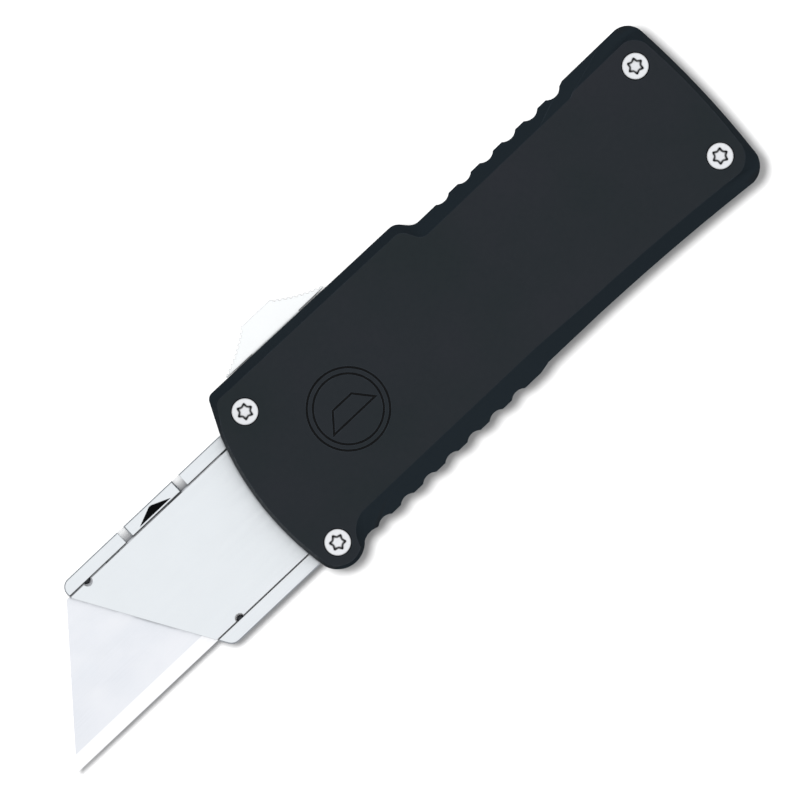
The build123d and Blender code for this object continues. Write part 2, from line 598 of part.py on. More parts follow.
# ---------------------------------------------------------------- pocket clip
with BuildPart() as pocket_clip:
    with BuildSketch(flank(CLIP_Y + CLIP_TAB_WIDTH / 2)) as strip:
        with BuildLine():
            crown_z = -CLIP_GAP
            touch_x = CLIP_FRONT_X + CLIP_LIP
            tab_end = CLIP_END_X - CLIP_TAB
            crown_rear = tab_end - CLIP_RAMP
            Polyline(
                (CLIP_END_X, 0),
                (tab_end, 0),
                (crown_rear, crown_z),
                (crown_rear - CLIP_CROWN, crown_z),
                (touch_x + CLIP_TOUCH_RUN, crown_z + CLIP_SETTLE),
                (touch_x, -CLIP_TOUCH_GAP),
                (CLIP_FRONT_X, CLIP_BACK + CLIP_THICKNESS),
                (CLIP_FRONT_X, CLIP_BACK),
                (touch_x, -CLIP_TOUCH_GAP - CLIP_THICKNESS),
                (touch_x + CLIP_TOUCH_RUN, crown_z + CLIP_SETTLE - CLIP_THICKNESS),
                (crown_rear - CLIP_CROWN, CLIP_BACK),
                (crown_rear, CLIP_BACK),
                (tab_end, -CLIP_THICKNESS),
                (CLIP_END_X, -CLIP_THICKNESS),
                close=True,
            )
        make_face()
        ends_and_bends = strip.vertices().group_by(Axis.X)
        fillet(ends_and_bends[1] + ends_and_bends[4] + ends_and_bends[5], CLIP_BEND)
    extrude(amount=CLIP_TAB_WIDTH)
    with BuildSketch(underside(0, 0, CLIP_Y)) as plan:
        with BuildLine():
            half = CLIP_WIDTH / 2
            wide = CLIP_TAB_WIDTH / 2
            Polyline(
                (CLIP_END_X, -wide),
                (tab_end - CLIP_NECK_SHIFT, -wide),
                (crown_rear - CLIP_NECK_SHIFT, -half),
                (CLIP_FRONT_X, -half + CLIP_TIP_TAPER),
                (CLIP_FRONT_X, half - CLIP_TIP_TAPER),
                (crown_rear - CLIP_NECK_SHIFT, half),
                (tab_end - CLIP_NECK_SHIFT, wide),
                (CLIP_END_X, wide),
                close=True,
            )
        make_face()
        fillet(plan.vertices().group_by(Axis.X)[-1], CLIP_CORNER)
        chamfer(plan.vertices().group_by(Axis.X)[0], CLIP_TIP_CHAMFER)
    extrude(amount=FACE_Z, mode=Mode.INTERSECT)
    for x, y in CLIP_SCREWS:
        rod(underside(0, x, y), SCREW_SHANK + LOOSE_FIT, CLIP_THICKNESS, Mode.SUBTRACT)
        seat = underside(CLIP_SCREW_HEAD_HEIGHT - CLIP_THICKNESS, x, y)
        rod(seat, SCREW_HEAD + LOOSE_FIT, CLIP_THICKNESS, Mode.SUBTRACT)
pocket_clip.part.label = "pocket_clip"
export_step(pocket_clip.part, "parts/pocket_clip.step")

with BuildPart() as clip_screws:
    for x, y in CLIP_SCREWS:
        seat = underside(THREAD_FIT - CLIP_THICKNESS, x, y)
        screw(seat, SCREW_HEAD, CLIP_SCREW_HEAD_HEIGHT - THREAD_FIT, SCREW_SHANK, CLIP_SCREW_LENGTH)
clip_screws.part.label = "clip_screws"
export_step(clip_screws.part, "parts/clip_screws.step")


# ---------------------------------------------------------------- blade and carrier
def nose_outline(z, low, high, tail):
    """Plan of the carrier between two y places: a slanted nose in front and a square tail."""
    lean = 1 / tan(radians(SLANT_ANGLE))
    knee_y = CARRIER_TOP - NOSE_DROP
    front_low = -NOSE_REACH + (knee_y - low) * lean
    knee = min(high, knee_y)
    with BuildSketch(level(z)) as outline:
        with BuildLine():
            Polyline(
                (front_low, low),
                (-NOSE_REACH + (knee_y - knee) * lean, knee),
                (-NOSE_REACH + (knee_y - knee) * lean, high),
                (tail, high),
                (tail, low),
                close=True,
            )
        make_face()
    return outline.sketch


def blade_outline(z):
    """Trapezoid of the blade, with two notches in its spine."""
    with BuildSketch(level(z)) as outline:
        with BuildLine():
            Polyline(
                (TIP_X, EDGE_Y),
                (TIP_X + BLADE_END_RUN, SPINE_Y),
                (BLADE_REAR_X - BLADE_END_RUN, SPINE_Y),
                (BLADE_REAR_X, EDGE_Y),
                close=True,
            )
        make_face()
        with Locations((NOTCH_X - NOTCH_SPACING, SPINE_Y), (NOTCH_X, SPINE_Y)):
            Rectangle(NOTCH_WIDTH, 2 * NOTCH_DEPTH, mode=Mode.SUBTRACT)
    return outline.sketch


with BuildPart() as utility_blade:
    extrude(blade_outline(BLADE_BACK), amount=BLADE_THICKNESS)
    blade_z = (BLADE_BACK + BLADE_FRONT) / 2
    with BuildSketch(station(TIP_X - OVERCUT)) as section:
        with BuildLine():
            Polyline(
                (EDGE_Y, blade_z - EDGE_THICKNESS / 2),
                (EDGE_Y + GROUND_BAND, BLADE_BACK),
                (SPINE_Y, BLADE_BACK),
                (SPINE_Y, BLADE_FRONT),
                (EDGE_Y + GROUND_BAND, BLADE_FRONT),
                (EDGE_Y, blade_z + EDGE_THICKNESS / 2),
                close=True,
            )
        make_face()
    extrude(amount=BLADE_LENGTH + 2 * OVERCUT, mode=Mode.INTERSECT)
utility_blade.part.label = "utility_blade"
export_step(utility_blade.part, "parts/utility_blade.step")

POSTS = [(BUTTON_FRONT_X + POST_INSET, BUTTON_Y), (BUTTON_REAR_X - POST_INSET, BUTTON_Y)]
PLATE_SCREWS = [
    (PLATE_REAR_X - PLATE_SCREW_INSET, -PLATE_SCREW_SPREAD),
    (PLATE_REAR_X - PLATE_SCREW_INSET, PLATE_SCREW_SPREAD),
]
TOOTH_Y = SPINE_Y - NOTCH_DEPTH + SPINE_GAP
TOOTH_X = (BUTTON_REAR_X - NOTCH_WIDTH + LOOSE_FIT, BUTTON_REAR_X - LOOSE_FIT)
BUTTON_BACK = BLADE_BACK + LOOSE_FIT
SEAT_FRONT = BUTTON_BACK - BUTTON_STROKE - LAYER_FIT
PIN_Z = (PLATE_BACK + CARRIER_FRONT) / 2

with BuildPart() as carrier_frame:
    extrude(nose_outline(CARRIER_BACK, CARRIER_LOW, CARRIER_TOP, TAIL_X), amount=CARRIER_FRONT - CARRIER_BACK)
    nose = carrier_frame.edges().filter_by(Axis.Z).group_by(Axis.Y)[-1].sort_by(Axis.X)[0]
    fillet(nose, NOSE_RADIUS)
    chin = carrier_frame.edges().filter_by(Axis.Z).group_by(Axis.Y)[0].sort_by(Axis.X)[0]
    fillet(chin, CHIN_RADIUS)
    chamfer(carrier_frame.faces().sort_by(Axis.Z)[-1].edges(), EDGE_CHAMFER)
    channel_x = (-NOSE_REACH - OVERCUT, PLATE_REAR_X + LOOSE_FIT)
    block(channel_x, (RAIL_LOW_INNER, RAIL_TOP_INNER), (CARRIER_FLOOR, CARRIER_FRONT), Mode.SUBTRACT)
    with BuildSketch(level(CARRIER_FLOOR - EMBED)) as pad:
        with BuildLine():
            end_lean = EMBED * BLADE_END_RUN / BLADE_HEIGHT
            Polyline(
                (BLADE_REAR_X + BLADE_STANDOFF + end_lean, EDGE_Y - EMBED),
                (BLADE_REAR_X + BLADE_STANDOFF - BLADE_END_RUN - end_lean, SPINE_Y + EMBED),
                (PLATE_REAR_X + EMBED, SPINE_Y + EMBED),
                (PLATE_REAR_X + EMBED, EDGE_Y - EMBED),
                close=True,
            )
        make_face()
    extrude(amount=PLATE_BACK - CARRIER_FLOOR + EMBED - THREAD_FIT)
    ear_y = (CARRIER_TOP - EMBED, CARRIER_TOP + EAR_HEIGHT)
    block((EAR_FRONT_X, TAIL_X), ear_y, (CARRIER_BACK, CARRIER_FRONT))
    for side in (-1, 1):
        lug_y = sorted((side * LUG_INNER, side * LUG_OUTER))
        block((LUG_FRONT_X, LUG_REAR_X), lug_y, (CARRIER_FRONT - EMBED, ROOF_BACK - SLIDE_FIT))
    seat_x = (BUTTON_FRONT_X - BUTTON_GAP, BUTTON_REAR_X + BUTTON_TAIL_GAP + BUTTON_GAP)
    block(seat_x, (RAIL_TOP_INNER, CARRIER_TOP + OVERCUT), (SEAT_FRONT, FACE_Z), Mode.SUBTRACT)
    recess_x = (TOOTH_X[0] - SLIDE_FIT, TOOTH_X[1] + LOOSE_FIT)
    block(recess_x, (TOOTH_Y - SLIDE_FIT, CARRIER_TOP), (SEAT_FRONT, CARRIER_FRONT), Mode.SUBTRACT)
    for x, y in POSTS:
        rod(level(SEAT_FRONT - EMBED, x, y), POST_RADIUS, POST_HEIGHT + EMBED)
    for x, y in PLATE_SCREWS:
        rod(level(CARRIER_BACK, x, y), PLATE_SCREW_SHANK + THREAD_FIT, FACE_Z, Mode.SUBTRACT)
    rod(flank(RAIL_TOP_INNER, UPPER_PIN_X, PIN_Z), PIN_RADIUS, -PIN_DEPTH - LOOSE_FIT, Mode.SUBTRACT)
    rod(flank(RAIL_LOW_INNER, LOWER_PIN_X, PIN_Z), PIN_RADIUS, PIN_DEPTH + LOOSE_FIT, Mode.SUBTRACT)
    notch_x = (LOCK_NOTCH_X - LOCK_NOTCH_CLEARANCE, LOCK_NOTCH_X + LEAF_TOOTH + LOCK_NOTCH_CLEARANCE)
    notch_y = (CARRIER_LOW - OVERCUT, LEAF_HIGH + SLIDE_FIT)
    block(notch_x, notch_y, (CARRIER_FRONT - LOCK_NOTCH_DEPTH, FACE_Z), Mode.SUBTRACT)
carrier_frame.part.label = "carrier_frame"
export_step(carrier_frame.part, "parts/carrier_frame.step")

with BuildPart() as carrier_plate:
    extrude(nose_outline(PLATE_BACK, PLATE_LOW, PLATE_TOP, PLATE_REAR_X), amount=PLATE_THICKNESS)
    chamfer(carrier_plate.faces().sort_by(Axis.Z)[-1].edges().sort_by(Axis.X)[0], EDGE_CHAMFER)
    for x, y in ((UPPER_PIN_X, PLATE_TOP), (LOWER_PIN_X, PLATE_LOW)):
        rod(level(PLATE_BACK, x, y), PIN_RADIUS + LAYER_FIT, PLATE_THICKNESS, Mode.SUBTRACT)
    for x, y in PLATE_SCREWS:
        rod(level(PLATE_BACK, x, y), PLATE_SCREW_SHANK + LOOSE_FIT, PLATE_THICKNESS, Mode.SUBTRACT)
        rod(level(CARRIER_FRONT, x, y), PLATE_SCREW_HEAD + LOOSE_FIT, -PLATE_SCREW_HEAD_HEIGHT, Mode.SUBTRACT)
carrier_plate.part.label = "carrier_plate"
export_step(carrier_plate.part, "parts/carrier_plate.step")

with BuildPart() as plate_screws:
    for x, y in PLATE_SCREWS:
        seat = level(CARRIER_FRONT - THREAD_FIT, x, y)
        head_height = PLATE_SCREW_HEAD_HEIGHT - THREAD_FIT
        screw(seat, PLATE_SCREW_HEAD, head_height, PLATE_SCREW_SHANK, PLATE_SCREW_LENGTH)
plate_screws.part.label = "plate_screws"
export_step(plate_screws.part, "parts/plate_screws.step")

# Ball-ended pins pressed into the rails; their noses stand in the notches of the plate.
with BuildPart() as plate_pins:
    for x, y, inward in ((UPPER_PIN_X, RAIL_TOP_INNER, 1), (LOWER_PIN_X, RAIL_LOW_INNER, -1)):
        rod(flank(y, x, PIN_Z), PIN_RADIUS - THREAD_FIT, -inward * PIN_DEPTH)
        with Locations(flank(y, x, PIN_Z)):
            Sphere(PIN_RADIUS - THREAD_FIT)
plate_pins.part.label = "plate_pins"
export_step(plate_pins.part, "parts/plate_pins.step")

# ---------------------------------------------------------------- release button
with BuildPart() as release_button:
    button_y = (RAIL_TOP_INNER + LOOSE_FIT, CARRIER_TOP)
    block((BUTTON_FRONT_X, BUTTON_REAR_X), button_y, (BUTTON_BACK, CARRIER_FRONT))
    rims = release_button.faces().sort_by(Axis.Z)[-1].edges()
    chamfer(rims.filter_by(Axis.Y) + rims.filter_by(Axis.X).sort_by(Axis.Y)[-1:], EDGE_CHAMFER)
    block(TOOTH_X, (TOOTH_Y, BUTTON_Y), (BUTTON_BACK, BUTTON_BACK + TOOTH_HEIGHT))
    for x, y in POSTS:
        rod(level(BUTTON_BACK, x, y), POST_RADIUS + LOOSE_FIT, POST_BORE_DEPTH, Mode.SUBTRACT)
    icon_x = (BUTTON_FRONT_X + BUTTON_REAR_X) / 2
    with BuildSketch(level(CARRIER_FRONT, icon_x, BUTTON_Y - ICON_DROP)) as icon:
        with BuildLine():
            Polyline(
                (-ICON_WIDTH / 2, -ICON_HEIGHT / 2),
                (-ICON_TOP / 2, ICON_HEIGHT / 2),
                (ICON_TOP / 2, ICON_HEIGHT / 2),
                (ICON_WIDTH / 2, -ICON_HEIGHT / 2),
                close=True,
            )
        make_face()
    extrude(amount=-ICON_DEPTH, mode=Mode.SUBTRACT)
release_button.part.label = "release_button"
export_step(release_button.part, "parts/release_button.step")

# Arched leaf between the two posts, pressing the button up.
with BuildPart() as release_spring:
    with BuildSketch(flank(BUTTON_Y + RELEASE_SPRING_WIDTH / 2)) as arch:
        with BuildLine():
            feet = (POSTS[0][0] + POST_INSET, POSTS[1][0] - POST_INSET)
            rise = BUTTON_BACK - SEAT_FRONT - SPRING_LEAF - LOOSE_FIT
            low = SagittaArc((feet[0], SEAT_FRONT), (feet[1], SEAT_FRONT), rise)
            high = SagittaArc((feet[0], SEAT_FRONT + SPRING_LEAF), (feet[1], SEAT_FRONT + SPRING_LEAF), rise)
            Line(low @ 0, high @ 0)
            Line(low @ 1, high @ 1)
        make_face()
    extrude(amount=RELEASE_SPRING_WIDTH)
release_spring.part.label = "release_spring"
export_step(release_spring.part, "parts/release_spring.step")

# ---------------------------------------------------------------- thumb slide and spring cage
def wedge(points):
    """Lift cam on the arm, from its outline seen from the belly side."""
    with BuildSketch(flank(ARM_Y[1] - LAYER_FIT)) as outline:
        with BuildLine():
            Polyline(*points, close=True)
        make_face()
    extrude(outline.sketch, amount=ARM_WIDTH - LAYER_FIT)


with BuildPart() as slider:
    cage_x = (SLIDER_FRONT_X, SLIDER_REAR_X)
    block(cage_x, (-SLIDER_HALF_WIDTH, SLIDER_HALF_WIDTH), (SLIDER_BACK, SLIDER_FRONT))
    rail_gap = LUG_OUTER + SLIDE_FIT
    block(cage_x, (-rail_gap, rail_gap), (SLIDER_BACK, ROOF_BACK), Mode.SUBTRACT)
    block((BAR_FRONT_X, SLIDER_FRONT_X + BAR_OVERLAP), BAR_Y, (SLIDER_BACK, BAR_FRONT))
    arm_top = SLIDER_BACK + ARM_THICKNESS
    block((CAM_X, SLIDER_FRONT_X + BAR_OVERLAP), ARM_Y, (SLIDER_BACK, arm_top))
    wedge(
        [
            (CAM_X, SLIDER_BACK),
            (CAM_X, arm_top + CAM_LIFT),
            (CAM_X + CAM_FLAT, arm_top + CAM_LIFT),
            (CAM_X + CAM_FLAT + CAM_RAMP, arm_top),
            (CAM_X + CAM_FLAT + CAM_RAMP, SLIDER_BACK),
        ]
    )
    rear_cam_x = REAR_LOCK_X + LEAF_TAB_FROM + LEAF_TAB_LENGTH
    rear_cam_top = LEDGE_FRONT - LOOSE_FIT
    rear_arm_x = (rear_cam_x - REAR_CAM_FLAT - REAR_CAM_RAMP, rear_cam_x)
    block(rear_arm_x, ARM_Y, (SLIDER_BACK, arm_top))
    wedge(
        [
            (rear_arm_x[0], SLIDER_BACK),
            (rear_arm_x[0], arm_top),
            (rear_arm_x[1] - REAR_CAM_FLAT, rear_cam_top),
            (rear_arm_x[1], rear_cam_top),
            (rear_arm_x[1], SLIDER_BACK),
        ]
    )
    for x, y in THUMB_SCREWS:
        rod(level(BAR_FRONT, x, y), THUMB_SCREW_SHANK + THREAD_FIT, -BAR_THICKNESS, Mode.SUBTRACT)
slider.part.label = "slider"
export_step(slider.part, "parts/slider.step")


def spring_hook(face_x, outward):
    """Block on one end of the spring; the coil is wound onto its spigot, which points inwards."""
    x = sorted((face_x, face_x + outward * HOOK_LENGTH))
    block(x, (-HOOK_HALF_WIDTH, HOOK_HALF_WIDTH), (SLIDER_BACK, ROOF_BACK - LOOSE_FIT))
    rod(station(face_x, 0, SPRING_Z), SPIGOT_RADIUS, -outward * SPIGOT_LENGTH)


with BuildPart() as front_spring_hook:
    spring_hook(SLIDER_FRONT_X - FACE_FIT, -1)
front_spring_hook.part.label = "front_spring_hook"
export_step(front_spring_hook.part, "parts/front_spring_hook.step")

with BuildPart() as rear_spring_hook:
    spring_hook(SLIDER_REAR_X + FACE_FIT, 1)
rear_spring_hook.part.label = "rear_spring_hook"
export_step(rear_spring_hook.part, "parts/rear_spring_hook.step")

with BuildPart() as main_spring:
    coil_from = SLIDER_FRONT_X + SPRING_WIRE
    coil_length = SLIDER_REAR_X - SPRING_WIRE - coil_from
    coil_radius = (SPRING_DIAMETER - SPRING_WIRE) / 2
    coil_start = station(coil_from, 0, SPRING_Z)
    with BuildLine() as coil:
        Helix(SPRING_PITCH, coil_length, coil_radius, center=coil_start.origin, direction=coil_start.z_dir)
    with BuildSketch(Plane(coil.line @ 0, z_dir=coil.line % 0)) as wire:
        Circle(SPRING_WIRE / 2)
    sweep(wire.sketch, path=coil.line, is_frenet=True)
main_spring.part.label = "main_spring"
export_step(main_spring.part, "parts/main_spring.step")

with BuildPart() as thumb_slide:
    thumb_z = (CASE_MIDDLE - THUMB_WIDTH / 2, CASE_MIDDLE + THUMB_WIDTH / 2)
    with BuildSketch(level(thumb_z[0])) as hill:
        base = (THUMB_BASE_FRONT_X, THUMB_BASE_FRONT_X + THUMB_BASE_LENGTH)
        peak = (THUMB_BASE_FRONT_X + THUMB_TOP_FRONT, THUMB_BASE_FRONT_X + THUMB_TOP_FRONT + THUMB_TOP_LENGTH)
        with BuildLine():
            floor = Line((base[1], THUMB_BASE_Y), (base[0], THUMB_BASE_Y))
            toe = Line(floor @ 1, (base[0], THUMB_BASE_Y + THUMB_LIP))
            front_ramp = SagittaArc(toe @ 1, (peak[0], THUMB_TOP_Y), -THUMB_HOLLOW)
            crest = Line(front_ramp @ 1, (peak[1], THUMB_TOP_Y))
            rear_ramp = SagittaArc(crest @ 1, (base[1], THUMB_BASE_Y + THUMB_LIP), -THUMB_HOLLOW)
            Line(rear_ramp @ 1, floor @ 0)
        make_face()
        for ramp in (front_ramp, rear_ramp):
            for i in range(THUMB_GROOVES):
                with Locations(ramp @ ((i + GROOVE_INSET) / (THUMB_GROOVES - 1 + 2 * GROOVE_INSET))):
                    Circle(THUMB_GROOVE_RADIUS, mode=Mode.SUBTRACT)
    extrude(amount=THUMB_WIDTH)
    neck_x = (NECK_FRONT_X, NECK_FRONT_X + NECK_LENGTH)
    block(neck_x, (CARRIER_TOP, THUMB_BASE_Y + THUMB_LIP), (TUNNEL_FRONT + SLIDE_FIT, COVER_BACK - SLIDE_FIT))
    foot_x = (NECK_FRONT_X - FOOT_OVERHANG, NECK_FRONT_X + NECK_LENGTH + FOOT_OVERHANG)
    block(foot_x, (CARRIER_TOP - FOOT_WIDTH, CARRIER_TOP), (BAR_FRONT, SLIDER_FRONT))
    for x, y in THUMB_SCREWS:
        rod(level(BAR_FRONT, x, y), THUMB_SCREW_SHANK + LOOSE_FIT, FACE_Z, Mode.SUBTRACT)
        seat = level(SLIDER_FRONT - THUMB_SCREW_HEAD_HEIGHT, x, y)
        rod(seat, THUMB_SCREW_HEAD + LOOSE_FIT, FACE_Z, Mode.SUBTRACT)
thumb_slide.part.label = "thumb_slide"
export_step(thumb_slide.part, "parts/thumb_slide.step")

with BuildPart() as thumb_slide_screws:
    for x, y in THUMB_SCREWS:
        seat = level(SLIDER_FRONT - THREAD_FIT, x, y)
        head_height = THUMB_SCREW_HEAD_HEIGHT - THREAD_FIT
        screw(seat, THUMB_SCREW_HEAD, head_height, THUMB_SCREW_SHANK, THUMB_SCREW_LENGTH)
thumb_slide_screws.part.label = "thumb_slide_screws"
export_step(thumb_slide_screws.part, "parts/thumb_slide_screws.step")


# ---------------------------------------------------------------- locks
def lock_leaf(x, sag):
    """Leaf screwed down at its front end, with a tooth at its tail and a tab for the cam.

    sag is how far the tooth end hangs below the screwed pad.
    """
    pad_end = x + LEAF_PAD
    end = x + LEAF_LENGTH
    tab_x = x + LEAF_TAB_FROM
    slope = sag / (end - pad_end)

    def leaf_strip(first, last, y_from, width):
        z_first = LEDGE_FRONT - max(first - pad_end, 0) * slope
        z_last = LEDGE_FRONT - max(last - pad_end, 0) * slope
        with BuildSketch(flank(y_from)) as strip:
            with BuildLine():
                Polyline(
                    (first, z_first),
                    (last, z_last),
                    (last, z_last + LEAF_THICKNESS),
                    (first, z_first + LEAF_THICKNESS),
                    close=True,
                )
            make_face()
        extrude(strip.sketch, amount=width)

    leaf_strip(x, pad_end, LEAF_HIGH, LEAF_WIDTH)
    leaf_strip(pad_end, end, LEAF_HIGH, LEAF_WIDTH)
    leaf_strip(tab_x, tab_x + LEAF_TAB_LENGTH, LEAF_HIGH + LEAF_TAB_WIDTH, LEAF_TAB_WIDTH + EMBED)
    tooth_z = (LEDGE_FRONT - sag - LEAF_TOOTH_DROP, LEDGE_FRONT - sag + EMBED)
    block((end - LEAF_TOOTH, end), (LEAF_LOW, LEAF_HIGH), tooth_z)
    seat = level(LEDGE_FRONT, x + LEAF_PAD / 2, (LEAF_LOW + LEAF_HIGH) / 2)
    rod(seat, LOCK_SCREW_SHANK + LOOSE_FIT, LEAF_THICKNESS, Mode.SUBTRACT)


with BuildPart() as front_lock_spring:
    lock_leaf(FRONT_LOCK_X, LEAF_SAG)
front_lock_spring.part.label = "front_lock_spring"
export_step(front_lock_spring.part, "parts/front_lock_spring.step")

with BuildPart() as rear_lock_spring:
    lock_leaf(REAR_LOCK_X, 0)
rear_lock_spring.part.label = "rear_lock_spring"
export_step(rear_lock_spring.part, "parts/rear_lock_spring.step")

with BuildPart() as lock_screws:
    for x, y in LOCK_SCREWS:
        seat = level(LEDGE_FRONT + LEAF_THICKNESS + LOCK_SCREW_HEAD_HEIGHT, x, y)
        length = LEAF_THICKNESS + LOCK_SCREW_HEAD_HEIGHT + LOCK_SCREW_LENGTH - LAYER_FIT
        screw(seat, LOCK_SCREW_HEAD, LOCK_SCREW_HEAD_HEIGHT, LOCK_SCREW_SHANK, length)
lock_screws.part.label = "lock_screws"
export_step(lock_screws.part, "parts/lock_screws.step")
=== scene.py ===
import json
import math

import bpy
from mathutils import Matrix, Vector


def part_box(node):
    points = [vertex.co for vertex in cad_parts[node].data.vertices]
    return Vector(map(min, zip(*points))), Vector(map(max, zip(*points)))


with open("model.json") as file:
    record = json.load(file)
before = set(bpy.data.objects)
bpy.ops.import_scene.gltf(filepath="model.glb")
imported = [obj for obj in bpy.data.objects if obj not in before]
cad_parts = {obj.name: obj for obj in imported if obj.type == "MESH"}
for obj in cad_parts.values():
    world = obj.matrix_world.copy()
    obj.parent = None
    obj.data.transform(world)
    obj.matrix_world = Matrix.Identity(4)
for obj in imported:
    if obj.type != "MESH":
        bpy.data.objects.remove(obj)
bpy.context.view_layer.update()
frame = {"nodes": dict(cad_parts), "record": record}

# ---------------------------------------------------------------- places, in metres
MM = 0.001
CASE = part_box("casing_body")
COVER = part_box("front_cover")
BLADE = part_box("utility_blade")
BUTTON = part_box("release_button")
FACE_Z = COVER[1][2]
CARRIER_TOP = BUTTON[1][1]
CARRIER_FRONT = BUTTON[1][2]
BLADE_EDGE = BLADE[0][1]
RAIL_WIDTH = 1.9 * MM

# ---------------------------------------------------------------- camera and light
LENS = 1000.0
SENSOR = 36.0
VIEW_WIDTH = 0.1119
CAMERA_TURN = math.radians(-43.32)
AIM_BEFORE_TAIL = 0.0605
AIM_BELOW_TOP = 0.0188
CLIP_END = 10.0

KEY_PLACE = Vector((-0.05, 0.12, 1.5))
KEY_SIZE = 0.17
KEY_WATTS = 36.0

WORLD_STRENGTH = 1.1
HORIZON = (0.26, 0.27, 0.29, 1)
ZENITH = (1, 1, 1, 1)
HORIZON_AT = 0.5
ZENITH_AT = 0.97

FLOOR_HALF = 3.0
FLOOR_COLOUR = (0.55, 0.55, 0.55, 1)
FLOOR_ROUGHNESS = 0.9


def add_camera():
    """A long lens over the front face, turned so that the blade points down and left."""
    data = bpy.data.cameras.new("camera")
    data.lens = LENS
    data.sensor_width = SENSOR
    data.clip_end = CLIP_END
    camera = bpy.data.objects.new("camera", data)
    bpy.context.collection.objects.link(camera)
    aim_x = COVER[1][0] - AIM_BEFORE_TAIL
    aim_y = CASE[1][1] - AIM_BELOW_TOP
    camera.location = (aim_x, aim_y, FACE_Z + VIEW_WIDTH * LENS / SENSOR)
    camera.rotation_euler = (0, 0, CAMERA_TURN)
    bpy.context.scene.camera = camera


def add_key_light():
    """A square soft box high above the front face, which metal doesn't reflect."""
    data = bpy.data.lights.new("key", "AREA")
    data.energy = KEY_WATTS
    data.size = KEY_SIZE
    light = bpy.data.objects.new("key", data)
    light.location = KEY_PLACE
    light.rotation_euler = (-KEY_PLACE).to_track_quat("-Z", "Y").to_euler()
    light.visible_glossy = False
    bpy.context.collection.objects.link(light)


def add_world():
    """A white tent, dimmer and cooler towards the horizon."""
    world = bpy.data.worlds.new("studio")
    bpy.context.scene.world = world
    world.use_nodes = True
    tree = world.node_tree
    tree.nodes.clear()
    output = tree.nodes.new("ShaderNodeOutputWorld")
    background = tree.nodes.new("ShaderNodeBackground")
    background.inputs["Strength"].default_value = WORLD_STRENGTH
    ramp = tree.nodes.new("ShaderNodeValToRGB")
    ramp.color_ramp.elements[0].position = HORIZON_AT
    ramp.color_ramp.elements[0].color = HORIZON
    ramp.color_ramp.elements[1].position = ZENITH_AT
    ramp.color_ramp.elements[1].color = ZENITH
    coordinates = tree.nodes.new("ShaderNodeTexCoord")
    parts = tree.nodes.new("ShaderNodeSeparateXYZ")
    height = tree.nodes.new("ShaderNodeMath")
    height.operation = "MULTIPLY_ADD"
    for socket in height.inputs[1:]:
        socket.default_value = 0.5
    tree.links.new(coordinates.outputs["Generated"], parts.inputs[0])
    tree.links.new(parts.outputs["Z"], height.inputs[0])
    tree.links.new(height.outputs[0], ramp.inputs["Fac"])
    tree.links.new(ramp.outputs["Color"], background.inputs["Color"])
    tree.links.new(background.outputs[0], output.inputs["Surface"])


def add_floor():
    """A plain pale table top, hidden from reflections."""
    mesh = bpy.data.meshes.new("floor")
    signs = [(-1, -1), (1, -1), (1, 1), (-1, 1)]
    corners = [(FLOOR_HALF * across, FLOOR_HALF * along, 0) for across, along in signs]
    mesh.from_pydata(corners, [], [(0, 1, 2, 3)])
    floor = bpy.data.objects.new("floor", mesh)
    bpy.context.collection.objects.link(floor)
    material = bpy.data.materials.new("floor_white")
    material.use_nodes = True
    shader = material.node_tree.nodes["Principled BSDF"]
    shader.inputs["Base Color"].default_value = FLOOR_COLOUR
    shader.inputs["Roughness"].default_value = FLOOR_ROUGHNESS
    shader.inputs["Specular IOR Level"].default_value = 0.0
    floor.data.materials.append(material)
    floor.visible_glossy = False


bpy.context.scene.view_settings.view_transform = "Standard"
add_camera()
add_world()
add_floor()
add_key_light()


# ---------------------------------------------------------------- materials
MIX_COLOURS = slice(6, 8)
MIX_RESULT = 2
GAP_SAMPLES = 12
EDGE_SAMPLES = 6


